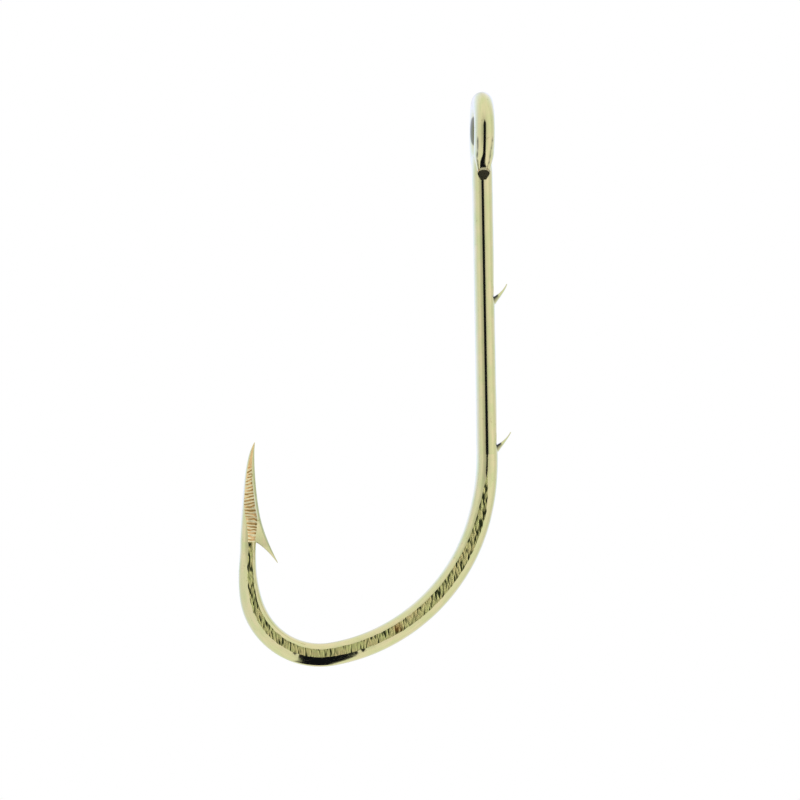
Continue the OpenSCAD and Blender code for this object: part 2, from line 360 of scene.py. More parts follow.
def forged_ring(place, out, along, w, t):
    """Ring of a forged wire with the die's marks sunk into its two bands."""
    inner, outer, weight = band_at(along)
    wide = min(1, (outer - inner) / BAND_WHOLE)
    relief = ease((wide - RELIEF_WIDTH[0]) / (RELIEF_WIDTH[1] - RELIEF_WIDTH[0]))
    corner = math.radians(mix(ROUND_CORNER, CORNER, ease((along - CORNER_START) / CORNER_LEN)))
    inner_shift = EDGE_WANDER * wide * noise.noise(Vector((along / WANDER_LEN, 3, 0)))
    outer_shift = EDGE_WANDER * wide * noise.noise(Vector((along / WANDER_LEN, 8, 0)))
    straight = STRAIGHTEST * ease((along - STRAIGHT_START) / STRAIGHT_LEN)
    straight *= ease((notch_along - along) / STRAIGHT_FADE)
    front_start = 2 * SIDE_COLUMNS + FLAT_COLUMNS
    ring = []
    for k, (u, v) in enumerate(forged_section(w, t, inner, outer, corner, straight)):
        on_front = k >= front_start or k == 0       # the front band ends at the first point
        column = k - (front_start if on_front else SIDE_COLUMNS)
        q = 1 if k == 0 else column / FLAT_COLUMNS
        if 0 <= q <= 1:
            u += mix(inner_shift, outer_shift, q if on_front else 1 - q)
        x, z = place + u * out
        depth = 0
        if 0 <= q <= 1:
            depth = die_mark(x, z, weight, 0 if on_front else 40)
            v -= math.copysign(depth * MARK_DEPTH * relief * inside(q), v)
        ring.append(((x, v, z), (along, u, v), depth))
    return ring


def forged_piece(name, node, stations, sizes):
    """Forged wire through the stations; sizes(along) gives its width and thickness."""
    rings = [forged_ring(place, out, along, *sizes(along)) for place, out, along in stations]
    loft(name, rings, FORGED_STRIPS, replaces=[node])


# --- Materials ----------------------------------------------------------------------------

# Colours of the bronzed wire and its painted shade, the forged band, the ground face, the cuts,
# the bevel and the sheared end with its painted dark reflection. What comes later in a row is laid
# over what comes first.
OLIVE_BRONZE, WARM_BRONZE = (0.575, 0.60, 0.295), (0.685, 0.61, 0.345)
# The third colour of this row is painted shade, for the eye's inside, its creases and the slices'
# roots.
DRAWN_LINES, BROWN_SPECKS, PAINTED_SHADE_COLOUR = (0.52, 0.52, 0.26), (0.36, 0.30, 0.15), (0.02, 0.025, 0.02)
WORN_GREEN, WORN_YELLOW, PRESSED_GRAIN = (0.86, 0.92, 0.36), (1.0, 0.86, 0.39), (0.42, 0.43, 0.18)
MARK_SLOPE, MARK_FLOOR, BROWN_STAIN = (0.30, 0.31, 0.12), (0.03, 0.04, 0.015), (0.50, 0.24, 0.06)
CREAM, COPPER = (1.0, 0.94, 0.58), (0.96, 0.52, 0.17)
GROUND_FLOOR, GROUND_GRAIN = (0.34, 0.24, 0.07), (0.62, 0.56, 0.25)
PALE_CUT, DULL_CUT = (0.70, 0.66, 0.40), (0.58, 0.53, 0.28)
DARK_BEVEL, PALE_BEVEL = (0.42, 0.45, 0.22), (0.50, 0.52, 0.28)
# The sheared end's two colours are a painted dark reflection on its cut face.
SHEARED_END_PAINTED_DARK, SHEARED_END_PAINTED_DARKER = (0.16, 0.15, 0.09), (0.03, 0.03, 0.02)
COAT_ROUGHNESS = 0.06


def new_material(name):
    """Empty material with only a shader in it, which is returned with it."""
    material = bpy.data.materials.new(name)
    material.use_nodes = True
    nodes = material.node_tree.nodes
    nodes.clear()
    output = nodes.new("ShaderNodeOutputMaterial")
    shader = nodes.new("ShaderNodeBsdfPrincipled")
    material.node_tree.links.new(shader.outputs["BSDF"], output.inputs["Surface"])
    return material, shader


def add(material, kind, **values):
    """New node in a material or world. A value is a setting of the node, or is for one of its
    sockets, named or numbered i0, i1 and so on: plain, or another node's output to link."""
    node = material.node_tree.nodes.new(kind)
    for key, value in values.items():
        if hasattr(node, key):
            setattr(node, key, value)
            continue
        socket = node.inputs[int(key[1:])] if key[1:].isdigit() else node.inputs[key]
        if isinstance(value, bpy.types.NodeSocket):
            material.node_tree.links.new(value, socket)
        else:
            socket.default_value = value
    return node


def attribute(material, name):
    """Node that reads values stored on the mesh."""
    return add(material, "ShaderNodeAttribute", attribute_name=name)


def stretched_noise(material, scale, detail=3, roughness=0.6):
    """Noise in wire coordinates, with scale (along, across, across) per millimetre."""
    place = attribute(material, "wire_mm").outputs["Vector"]
    stretched = add(material, "ShaderNodeVectorMath", operation="MULTIPLY", i0=place, i1=scale)
    return add(
        material, "ShaderNodeTexNoise", i0=stretched.outputs["Vector"],
        Scale=1.0, Detail=detail, Roughness=roughness,
    ).outputs["Fac"]


def remap(material, value, low, high, to_low, to_high):
    """Value stretched from low .. high to to_low .. to_high, and level outside."""
    return add(
        material, "ShaderNodeMapRange", i0=value, i1=low, i2=high, i3=to_low, i4=to_high
    ).outputs["Result"]


def blend(material, pattern, low, high, most, colour, other):
    """Colour that turns into the other, up to the share most, as pattern goes from low to
    high. The first colour may be plain or an earlier blend."""
    node = add(material, "ShaderNodeMix", data_type="RGBA")
    links = material.node_tree.links
    links.new(remap(material, pattern, low, high, 0, most), node.inputs[0])
    if isinstance(colour, bpy.types.NodeSocket):
        links.new(colour, node.inputs[6])
    else:
        node.inputs[6].default_value = (*colour, 1)
    node.inputs[7].default_value = (*other, 1)
    return node.outputs[2]


def finish_metal(material, shader, colour, roughness, height, depth, coat=0.5):
    """Metal with a thin clear coat. height is a pattern that dents it, depth millimetres deep."""
    dents = add(material, "ShaderNodeBump", Height=height, Distance=depth * MM)
    links = material.node_tree.links
    links.new(colour, shader.inputs["Base Color"])
    links.new(roughness, shader.inputs["Roughness"])
    links.new(dents.outputs["Normal"], shader.inputs["Normal"])
    shader.inputs["Metallic"].default_value = 1
    shader.inputs["Coat Weight"].default_value = coat
    shader.inputs["Coat Roughness"].default_value = COAT_ROUGHNESS


def bronze_material(name, marked=False):
    """Glossy bronzed wire with faint drawing lines, soft mottling and a few specks. One with
    painted shade is darkened, as painted shade, where the mesh holds it."""
    material, shader = new_material(name)
    lines = stretched_noise(material, (0.16, 16, 16))
    mottle = stretched_noise(material, (1.1, 2.6, 2.6))
    specks = stretched_noise(material, (5, 6, 6), detail=2)
    waves = stretched_noise(material, (0.35, 0.9, 0.9), detail=0)
    colour = blend(material, mottle, 0.35, 0.65, 1, OLIVE_BRONZE, WARM_BRONZE)
    colour = blend(material, lines, 0.4, 0.75, 0.5, colour, DRAWN_LINES)
    colour = blend(material, specks, 0.66, 0.76, 0.6, colour, BROWN_SPECKS)
    # painted shade: the wire darkens where the mesh holds painted shade
    if marked:
        mark_and_painted_shade = attribute(material, "mark_and_painted_shade").outputs["Fac"]
        colour = blend(material, mark_and_painted_shade, 0.2, 0.8, 1, colour, PAINTED_SHADE_COLOUR)
    roughness = remap(material, lines, 0.3, 0.7, 0.07, 0.12)
    finish_metal(material, shader, colour, roughness, waves, 0.006)
    return material


def forged_material():
    """Band pressed by the die: satin metal, dark in the marks and worn bright between them."""
    material, shader = new_material("forged_band")
    mark_and_painted_shade = attribute(material, "mark_and_painted_shade").outputs["Fac"]
    mottle = stretched_noise(material, (0.9, 1.6, 1.6))
    grain = stretched_noise(material, (22, 22, 22), detail=4)
    colour = blend(material, mottle, 0.35, 0.65, 1, WORN_GREEN, WORN_YELLOW)
    colour = blend(material, mark_and_painted_shade, 0.15, 0.6, 0.9, colour, MARK_SLOPE)
    colour = blend(material, mark_and_painted_shade, 0.62, 0.85, 1, colour, MARK_FLOOR)
    colour = blend(material, grain, 0.55, 0.8, 0.5, colour, PRESSED_GRAIN)
    place = attribute(material, "wire_mm").outputs["Vector"]
    away = add(material, "ShaderNodeVectorMath", operation="DISTANCE", i0=place, i1=STAIN_PLACE)
    colour = blend(material, away.outputs["Value"], 0.4, 0.05, 0.55, colour, BROWN_STAIN)
    roughness = remap(material, mark_and_painted_shade, 0, 1, 0.44, 0.6)
    finish_metal(material, shader, colour, roughness, grain, 0.004, coat=0)
    return material


def ground_material():
    """Ground face of the point: bright copper and cream lines across it."""
    material, shader = new_material("ground_face")
    mark_and_painted_shade = attribute(material, "mark_and_painted_shade").outputs["Fac"]
    grain = stretched_noise(material, (26, 8, 8), detail=4)
    colour = blend(material, mark_and_painted_shade, 0.15, 0.85, 1, CREAM, COPPER)
    colour = blend(material, mark_and_painted_shade, 0.7, 0.95, 0.9, colour, GROUND_FLOOR)
    colour = blend(material, grain, 0.5, 0.8, 0.4, colour, GROUND_GRAIN)
    roughness = remap(material, mark_and_painted_shade, 0, 1, 0.36, 0.46)
    finish_metal(material, shader, colour, roughness, grain, 0.004, coat=0.2)
    return material


def cut_material():
    """Metal laid bare by a cutting tool: pale, satin, with fine lines along the cut."""
    material, shader = new_material("cut_face")
    lines = stretched_noise(material, (2, 30, 30), detail=4)
    colour = blend(material, lines, 0.35, 0.65, 1, PALE_CUT, DULL_CUT)
    roughness = remap(material, lines, 0.3, 0.7, 0.2, 0.34)
    finish_metal(material, shader, colour, roughness, lines, 0.003, coat=0.3)
    return material


def bevel_material():
    """Narrow dark bevel that follows the inner edge of the point and the barb."""
    material, shader = new_material("dark_bevel")
    lines = stretched_noise(material, (3, 20, 20), detail=3)
    colour = blend(material, lines, 0.35, 0.65, 1, DARK_BEVEL, PALE_BEVEL)
    roughness = remap(material, lines, 0.3, 0.7, 0.16, 0.3)
    finish_metal(material, shader, colour, roughness, lines, 0.003)
    return material


def painted_dark_end_material():
    """Sheared end of the wire: dull, and dark as a painted dark reflection."""
    material, shader = new_material("sheared_end_painted_dark")
    grain = stretched_noise(material, (12, 12, 12), detail=4)
    colour = blend(material, grain, 0.35, 0.7, 1, SHEARED_END_PAINTED_DARK, SHEARED_END_PAINTED_DARKER)
    roughness = remap(material, grain, 0.3, 0.7, 0.22, 0.4)
    finish_metal(material, shader, colour, roughness, grain, 0.004, coat=0.2)
    return material


materials = {
    "end": painted_dark_end_material(),
    "bronze": bronze_material("bronzed_wire"),
    "marked": bronze_material("bronzed_wire_painted_shade", marked=True),
    "forged": forged_material(),
    "ground": ground_material(),
    "cut": cut_material(),
    "bevel": bevel_material(),
}

# --- Plain wire: eye, neck and shank ---------------------------------------------------------

ROUND_COLUMNS = 60
CUT_COLUMNS = 6
LEAST_FACET = 3         # half angle of a facet where it has run out, in degrees
EYE_ALONG, NECK_ALONG, END_ALONG = -10, -5, -20     # wire coordinate at which each starts
PATTERN_R = 0.5         # radius of the closing end in wire coordinates


def faceted_section(depth):
    """(u, v) around the round wire with a facet cut depth deep on its +u side, facet first."""
    half = max(math.radians(LEAST_FACET), math.acos(1 - depth / WIRE_R))
    edge = WIRE_R * Vector((math.cos(half), math.sin(half)))
    ring = [(edge.x, mix(-edge.y, edge.y, k / CUT_COLUMNS)) for k in range(CUT_COLUMNS)]
    full, far = 2 * math.pi, math.radians(60)
    sixth = ROUND_COLUMNS // 6
    angles = [mix(half, far, k / sixth) for k in range(sixth)]
    angles += [mix(far, full - far, k / (4 * sixth)) for k in range(4 * sixth)]
    angles += [mix(full - far, full - half, k / sixth) for k in range(sixth)]
    return ring + [(WIRE_R * math.cos(b), WIRE_R * math.sin(b)) for b in angles]


def bent_ring(middle, radius, turn, depth, along, facet_in):
    """Ring of a wire bent about X. turn is measured from straight down, towards +Y."""
    c, s = cos_deg(turn), math.sin(math.radians(turn))
    sign = -1 if facet_in else 1
    ring = []
    for u, v in faceted_section(depth):
        reach = radius + sign * u
        place = (sign * v, middle[0] + reach * s, middle[1] - reach * c)
        ring.append((place, (along, u, v), 0))
    return ring


def plain_strips(facet, side):
    """Materials around a plain wire: of its facet, and of the rest."""
    return [facet] * CUT_COLUMNS + [side] * ROUND_COLUMNS


def lean_eye(x, z):
    """x with the eye's slight lean, which grows from the neck to the eye's top."""
    return x + EYE_SHIFT * ease((z + NECK_DROP) / (NECK_DROP + RING_R))


def build_eye():
    """Ring of the eye. It starts at the neck, at the back, and ends where the closing end
    starts, at the front."""
    start, end = NECK_LEAN, 360 - END_TURN - TAPER_TURN
    count = round(math.radians(end - start) * RING_R / PLAIN_STEP)
    rings = []
    for k in range(count + 1):
        turn = mix(start, end, k / count)
        front_turn = 360 - turn
        along = EYE_ALONG - math.radians(turn - start) * RING_R
        narrow = taper_half(front_turn) / WIRE_R if turn > 180 else 1
        ring = []
        for (x, y, z), wire, _ in bent_ring((0, 0), RING_R, turn, LAND_DEPTH, along, True):
            # painted shade: darkness inside the eye, and along two creases down its front that the
            # mesh doesn't have
            dark = max(painted_eye_shade(turn, *wire[1:]), painted_crease_shade(front_turn, *wire[1:]))
            ring.append(((lean_eye(x * narrow, z), y, z), wire, dark))
        rings.append(ring)
    loft("eye_ring", rings, plain_strips("marked", "marked"), replaces=["eye"])


def painted_eye_shade(turn, u, v):
    """Painted shade on the eye's inner side, at (u, v) of the wire's section."""
    middle = 1 - ((turn - EYE_SHADE_TURN) / EYE_SHADE_REACH) ** 2
    if middle <= 0:
        return 0
    limit = EYE_SHADE_SPREAD * math.sqrt(middle)
    return EYE_SHADE_DARK * ease((limit - abs(math.degrees(math.atan2(v, u)))) / EYE_SHADE_EDGE)


def painted_crease_shade(turn, u, v):
    """Painted shade of two soft creases down the front of the eye, where the wire narrows; the
    mesh has no such creases. turn is measured from straight down, towards the front."""
    if u > 0 or turn > PINCH_TOP:
        return 0
    wander = 0.05 * noise.noise(Vector((turn / 9, 4, 2)))
    across = v / WIRE_R + wander
    apart = ease((turn - PINCH_TURNS[0]) / (PINCH_TURNS[1] - PINCH_TURNS[0]))
    near = min(abs(across - mix(*edge, apart)) for edge in (PINCH_LEFT, PINCH_RIGHT))
    patchy = 0.7 + 0.5 * noise.noise(Vector((turn / 6, across * 2, 8)))
    return CREASE_SHADE_DARK * ease(1 - near / PINCH_HALF) * ease((PINCH_TOP - turn) / PINCH_FADE) * patchy


def taper_half(turn):
    """Half width of the eye's wire as it nears the shank; turn is measured from straight
    down, towards the front."""
    return mix(CUT_HALF, WIRE_R, ease((turn - TAPER_LAST) / (TAPER_FIRST - TAPER_LAST)))


def front_place(turn, radius):
    """Point on a circle about the eye's middle, as (y, z), turn from straight down."""
    return Vector((-math.sin(math.radians(turn)), -cos_deg(turn))) * radius


def build_eye_end():
    """Closing end of the eye. It narrows, comes down onto the front of the shank and ends in
    a slanting cut shaped like a plectrum, with a bright burr along its top."""
    start = END_TURN + TAPER_TURN
    fore_start = front_place(start, RING_R + WIRE_R)
    back_start = front_place(start, RING_R - WIRE_R)
    ahead = Vector((cos_deg(start), -math.sin(math.radians(start))))
    fore = [fore_start, fore_start + FORE_PULLS[0] * ahead, CUT_TOP + FORE_PULLS[1], CUT_TOP]
    back = [back_start, back_start + BACK_PULLS[0] * ahead, CUT_FOOT + BACK_PULLS[1], CUT_FOOT]
    rings = []
    count = 40
    for k in range(count + 3):
        q = min(k / count, 1)
        burr = max(0, k - count)
        turn = mix(start, CUT_TURN, q)
        half = taper_half(turn) * (BURR_NARROW if burr else 1)
        flat = ease(q / 0.8)
        ring = []
        for u, v in faceted_section(LAND_DEPTH * (1 - ease(q * 2))):
            # painted shade along the two creases down the front of the eye
            dark = painted_crease_shade(turn, u, v)
            u, v = u / WIRE_R, v / WIRE_R
            share = (1 + u) / 2
            if burr:
                share = mix(BURR, 1, share)
            place = mix(curve4(fore, q), curve4(back, q), share)
            if burr == 2:
                place += BURR_SINK
            across = v * half * mix(1, (1 - FRONT_HEAVY * u) / HEAVY_WIDEST, flat)
            wire = (END_ALONG - q * 2, u * PATTERN_R, v * PATTERN_R)
            ring.append(((lean_eye(-across, place.y), *place), wire, dark))
        rings.append(ring)
    strips = plain_strips("marked", "marked")
    # the cut's last row and its face carry the sheared end's painted dark reflection
    loft("eye_tip", rings, strips, replaces=["eye_end"], last_rows=["ground", "end"], cap="end")


def build_neck():
    """Bend that carries the shank's wire over to the back of the ring."""
    rings = []
    count = 14
    for k in range(count + 1):
        turn = mix(270 - NECK_TURN, 270, k / count)
        along = NECK_ALONG - math.radians(270 - turn) * NECK_R
        ring = bent_ring((NECK_R, -NECK_DROP), NECK_R, turn, 0, along, False)
        rings.append([((lean_eye(x, z), y, z), wire, mark_and_painted_shade) for (x, y, z), wire, mark_and_painted_shade in ring])
    loft("neck_wire", rings, plain_strips("bronze", "bronze"), replaces=["neck"])


def build_shank():
    """Straight round wire. The cut above each slice is deepest at the slice."""
    count = round((SHANK_LEN - NECK_DROP) / PLAIN_STEP)
    rings = []
    for k in range(count + 1):
        z = mix(-NECK_DROP, -SHANK_LEN, k / count)
        swell = SHANK_SWELL * ease((-z - SHANK_LEN + SWELL_LEN) / SWELL_LEN)
        depth = 0
        for foot in slice_feet.values():
            rise = (z - foot - SLICE_ROOT) / CUT_LEN
            if 0 <= rise <= 1:
                depth = CUT_DEPTH * (1 - rise)
        ring = []
        for u, v in faceted_section(depth):
            ring.append(((u * (1 + swell / WIRE_R), v, z), (-z, u, v), 0))
        rings.append(ring)
    loft("shank_wire", rings, plain_strips("cut", "bronze"), replaces=["shank"])


slice_feet = {"lower": SLICE_FOOT - SHANK_LEN, "upper": SLICE_FOOT - SHANK_LEN + SLICE_PITCH}

build_eye()
build_eye_end()
build_neck()
build_shank()

# --- Forged wire: heel, bend and throat --------------------------------------------------------


def heel_sizes(along):
    """Width and thickness where the round wire runs out into the forged one."""
    q = ease(along / arc_start[1])
    return mix(2 * (WIRE_R + SHANK_SWELL), FORGED_W, q), mix(2 * WIRE_R, FORGED_T, q)


def bend_sizes(along):
    """Width and thickness of the forged wire, which stay the same along it."""
    return FORGED_W, FORGED_T


throat_start = arc_start[3] - math.radians(NARROWING_TURN) * ARC_R[2]


def throat_sizes(along):
    """Width and thickness where the wire narrows towards the barb's notch."""
    q = ease((along - throat_start) / (notch_along - throat_start))
    return mix(FORGED_W, NOTCH_W, q), mix(FORGED_T, NOTCH_T, q)


def leg_stations():
    """Stations up the front leg, past its first one, which ends the arc below it."""
    count = round(LEG_LEN / STEP)
    for k in range(1, count + 1):
        q = k / count
        place = leg_start + Vector((NOTCH_LEAN * ease(q), LEG_LEN * q))
        yield place, outward(180), arc_start[4] + LEG_LEN * q


narrow_turn = turns[3] - NARROWING_TURN
forged_piece("heel_wire", "heel", arc_stations(0, turns[0], turns[1]), heel_sizes)
forged_piece("bend_wire", "bend", arc_stations(1, turns[1], turns[2]), bend_sizes)
forged_piece("front_bend_wire", "front_bend", arc_stations(2, turns[2], narrow_turn), bend_sizes)
throat = [
    *arc_stations(2, narrow_turn, turns[3]),
    *list(arc_stations(3, turns[3], turns[4]))[1:],
    *leg_stations(),
]
forged_piece("throat_wire", "throat", throat, throat_sizes)

# --- Point and barb -----------------------------------------------------------------------

outer_x, inner_x = NOTCH_LEAN - NOTCH_W / 2, NOTCH_LEAN + NOTCH_W / 2
barb_top_x = inner_x + POINT_SWELL
outer_edge = [
    Vector((outer_x, 0)),
    Vector((outer_x + 0.14, POINT_LEN * 0.34)),
    Vector((POINT_LEAN - 0.73, POINT_LEN * 0.82)),
    Vector((POINT_LEAN - TIP_D / 2, POINT_LEN)),
]
inner_edge = [
    Vector((barb_top_x, BARB_ROOT)),
    Vector((barb_top_x - 0.19, mix(BARB_ROOT, POINT_LEN, 0.3))),
    Vector((POINT_LEAN - 0.11, mix(BARB_ROOT, POINT_LEN, 0.73))),
    Vector((POINT_LEAN + TIP_D / 2, POINT_LEN)),
]

barb_tip = Vector((inner_x + BARB_OUT, -BARB_DROP))
barb_outer = [
    Vector((barb_top_x, BARB_ROOT)),
    Vector((barb_top_x + BARB_OUT * 0.16, BARB_ROOT * 0.26)),
    barb_tip,
]
barb_under = [
    Vector((inner_x - BARB_SEAT, 0)),
    Vector((inner_x + BARB_OUT * 0.45, -BARB_DROP * 0.3)),
    barb_tip - Vector((BLADE_END, 0)),
]
GROUND_TOP = POINT_LEN * 0.8    # height at which the ground face's marks have run out
GROUND_FADE = 0.6       # height over which they do so
PLAIN_DEPTH = 0.6       # depth that stands for the plain face above them
# Ground face's outer edge, measured from the point's, and its inner edge, measured from the
# leg's middle line: at the notch, higher up, and the height over which it changes.
FACE_OUTER, FACE_INNER = (0.46, 0.1, 2.6), (0.47, 0.6, 1.2)
FACE_BORDER = 0.2       # least width left between it and the point's inner edge
FACE_MOST = (0.3, 0.34)         # limits of its distances from both edges, as shares of the width
THINNING = 0.6          # upper share of the point over which it thins
TIP_SHARE = 0.06        # share of its thickness left at the tip
FACE_FALL = 0.79        # thickness left at the inner edge of the sloping ground face
FLANK_FALL = 0.28       # further share lost from there to the bevel
BEVEL_W = 0.13          # width of the bevel, and its limits as a share of the point's and
BEVEL_MOST, BARB_BEVEL_MOST = 0.22, 0.3     # of the barb's width
BEVEL_FALL, BEVEL_CURVE = 0.7, 1.3          # how far it falls to its sharp edge, how rounded
OUTER_COLUMNS, GROUND_COLUMNS, FLANK_COLUMNS, BEVEL_COLUMNS = 8, 18, 10, 6
UNDER_COLUMNS, UNDER_SHARE = 4, 0.18    # rounded underside of the barb
UNDER_LEAST = 0.35      # share of its thickness at its lowest edge


def height_on(curve, points, z):
    """x of a falling or rising curve at height z, found by halving."""
    low, high = 0, 1
    rising = points[-1].y > points[0].y
    for _ in range(24):
        q = (low + high) / 2
        if (curve(points, q).y < z) == rising:
            low = q
        else:
            high = q
    return curve(points, (low + high) / 2).x


def point_edges(z):
    """x of the outer edge, of the ground face's two edges and of the inner edge at height z.
    Below the barb's top, the inner edge is the barb's outer one."""
    outer = height_on(curve4, outer_edge, z)
    inner = height_on(curve4, inner_edge, z) if z > BARB_ROOT else height_on(curve3, barb_outer, z)
    w = inner - outer
    face_outer = outer + min(mix(*FACE_OUTER[:2], ease(z / FACE_OUTER[2])), FACE_MOST[0] * w)
    root_inner = mix(*FACE_INNER[:2], ease(z / FACE_INNER[2]))
    face_inner = min(root_inner, inner - min(FACE_BORDER, FACE_MOST[1] * w))
    return outer, face_outer, face_inner, inner


def half_thickness(z):
    """Half thickness of the point at the ground face's outer edge."""
    return NOTCH_T / 2 * min(1, (POINT_LEN - z) / (THINNING * POINT_LEN) + TIP_SHARE)


def flank_height(q, z):
    """Half thickness between the ground face, q = 0, and the bevel, q = 1, at height z."""
    return half_thickness(z) * (FACE_FALL - FLANK_FALL * max(q, 0))


def bevel_points(start, end, height):
    """(x, half thickness) over the bevel, from its start to the sharp edge at its end."""
    for k in range(BEVEL_COLUMNS + 1):
        q = k / BEVEL_COLUMNS
        yield mix(start, end, q), height * (1 - BEVEL_FALL * q ** BEVEL_CURVE)


def point_ring(z):
    """Section of the point at height z: its half section down the front and up the back, from
    the outer edge over the ground face and the flank to the bevel."""
    outer, face_outer, face_inner, inner = point_edges(z)
    bevel = inner - min(BEVEL_W, BEVEL_MOST * (inner - outer))
    top = half_thickness(z)
    half = []
    for k in range(OUTER_COLUMNS):
        b = CORNER * k / OUTER_COLUMNS
        across = (1 - cos_deg(b)) / (1 - cos_deg(CORNER))
        rise = math.sin(math.radians(b)) / math.sin(math.radians(CORNER))
        half.append((mix(outer, face_outer, across), top * rise))
    for k in range(GROUND_COLUMNS):
        q = k / GROUND_COLUMNS
        half.append((mix(face_outer, face_inner, q), top * mix(1, FACE_FALL, q)))
    for k in range(FLANK_COLUMNS):
        q = k / FLANK_COLUMNS
        half.append((mix(face_inner, bevel, q), flank_height(q, z)))
    half += bevel_points(bevel, inner, flank_height(1, z))
    fade = ease((GROUND_TOP - z) / GROUND_FADE)
    on_face = range(OUTER_COLUMNS, OUTER_COLUMNS + GROUND_COLUMNS + 1)
    ring = []
    for sign in (-1, 1):
        columns = range(len(half)) if sign < 0 else range(len(half) - 1, 0, -1)
        for k in columns:
            x, h = half[k]
            depth = 0
            if k in on_face:
                depth = mix(PLAIN_DEPTH, grinding_mark(x, z, 70 + sign), fade)
                q = (k - OUTER_COLUMNS) / GROUND_COLUMNS
                h -= fade * depth * GRIND_DEPTH * h / (NOTCH_T / 2) * inside(q)
            place = (notch.x + x, sign * h, notch.y + z)
            ring.append((place, (notch_along + z, x, sign * h), depth))
    return ring


def point_strips():
    """Materials around the point's section."""
    front = ["bronze"] * OUTER_COLUMNS + ["ground"] * GROUND_COLUMNS
    front += ["bronze"] * FLANK_COLUMNS + ["bevel"] * BEVEL_COLUMNS
    return front + ["bevel"] + front[::-1]


def build_point():
    """Ground point, from the barb's notch up to the tip."""
    count = round(POINT_LEN / STEP)
    rings = [point_ring(POINT_LEN * k / count) for k in range(count + 1)]
    loft("point_blade", rings, point_strips(), replaces=["point"])


def build_barb():
    """Barb below its notch. Its face carries on from the flank of the point above it."""
    _, _, face_inner, _ = point_edges(0)
    rings = []
    count = 48
    for k in range(count + 1):
        q = k / count
        z = -BARB_DROP * q
        under, outer = height_on(curve3, barb_under, z), height_on(curve3, barb_outer, z)
        bevel = outer - min(BEVEL_W, BARB_BEVEL_MOST * (outer - under))
        thin = mix(1, BLADE_END / NOTCH_T, q)
        start = mix(face_inner, under, ease(q * 3))
        half = []
        for j in range(UNDER_COLUMNS + FLANK_COLUMNS):
            past = max(0, j - UNDER_COLUMNS) / FLANK_COLUMNS
            rise = min(1, j / UNDER_COLUMNS)
            x = mix(under, bevel, mix(UNDER_SHARE * rise, 1, past))
            lift = mix(UNDER_LEAST, 1, math.sqrt(1 - (1 - rise) ** 2))
            half.append((x, flank_height((x - start) / (bevel - start), 0) * lift))
        half += bevel_points(bevel, outer, flank_height(1, 0))
        ring = []
        for sign in (-1, 1):
            for x, h in half[::-sign]:
                v = sign * h * thin
                ring.append(((notch.x + x, v, notch.y + z), (notch_along - z, x, v), 0))
        rings.append(ring)
    front = ["cut"] * UNDER_COLUMNS + ["bronze"] * FLANK_COLUMNS + ["bevel"] * BEVEL_COLUMNS
    strips = front + ["bevel"] + front[::-1] + ["cut"]
    loft("barb_blade", rings, strips, replaces=["barb"])


build_point()
build_barb()

# --- Slices -------------------------------------------------------------------------------

BURIED = 0.3            # how far a slice's root is sunk in the shank
ROOT_SHADE_END, ROOT_SHADE_FADE = 0.4, 0.1      # where the painted shade at its root has ended, and over what it fades
FACE_COLUMNS, BACK_COLUMNS = 8, 12


def build_slice(place):
    """Blade that curves up and out of the shank. Its root is painted dark, as painted shade in the
    notch where it leaves the shank, and it is flat above and rounded below."""
    foot = slice_feet[place]
    out = SLICE_OUT[place]
    slope = math.tan(math.radians(SLICE_RISE))
    tip = Vector((WIRE_R + out, foot + SLICE_H))
    under = [
        Vector((WIRE_R - BURIED, foot - BURIED * slope)),
        Vector((tip.x, foot + out * slope)),
        tip,
    ]
    over = [
        Vector((WIRE_R - BURIED, foot + SLICE_ROOT * 0.8)),
        Vector((WIRE_R + out * 0.58, foot + SLICE_H * 0.56)),
        tip - Vector((BLADE_END, 0)),
    ]
    rings = []
    count = 40
    for k in range(count + 1):
        q = k / count
        upper, lower = curve3(over, q), curve3(under, q)
        half_w = mix(SLICE_W, BLADE_END, q) / 2
        # painted shade on the blade near its root
        root = ease((ROOT_SHADE_END - q) / ROOT_SHADE_FADE)
        ring = []
        for j in range(FACE_COLUMNS):
            v = mix(-half_w, half_w, j / FACE_COLUMNS)
            ring.append(((upper.x, v, upper.y), (q * 2, 0, v), root))
        for j in range(BACK_COLUMNS):
            angle = math.pi * j / BACK_COLUMNS
            near_face = 1 - math.sin(angle)
            bulge = mix(lower, upper, near_face)
            v = half_w * math.cos(angle)
            ring.append(((bulge.x, v, bulge.y), (q * 2, 0.3, v), root * near_face))
        rings.append(ring)
    strips = ["marked"] * (FACE_COLUMNS + BACK_COLUMNS)
    loft(f"{place}_slice_blade", rings, strips, replaces=[f"{place}_slice"])


build_slice("upper")
build_slice("lower")

# --- Studio -------------------------------------------------------------------------------

VIEW_AZIMUTH = -3.6
VIEW_DISTANCE = 300
VIEW_ROLL = 1.0
FRAME_SIZE = 48         # width of the picture at the hook
SENSOR = 36
AIM_FROM_MIDDLE = Vector((1.61, 0, -1.26))
FLOOR_HALF, FLOOR_DROP = 4000, 350
CLOTH_REACH = 330
CLOTH_HALF = 14         # half of the angle that the cloth covers, seen from the hook
CLOTH_AZIMUTH = -3.5
CLOTH_SLANT = -0.12     # how far its lower end lies to the side, as a share of its distance
CLOTH_TOP, CLOTH_END = 38, -102     # angles above and below level that it runs between
CLOTH_LOW = 0.7         # share of its width left at its lower end, and the width of the grey
CLOTH_HEM = 0.35        # hem there, as a share of what is left
CLOTH_NARROWS = (-58, 32)           # angle at which it starts to do so, and over how much
CLOTH_SLANTS = (-65, 40)            # the same for its slant
CLOTH_BLACK, HEM_GREY = (0.008, 0.009, 0.016), (0.26, 0.27, 0.25)
BRIGHTEST = 2.1
OVERHEAD = 1.1          # brightness overhead and below
CEILING = (0.3, 0.95)   # shares of the height between which the walls run out into it
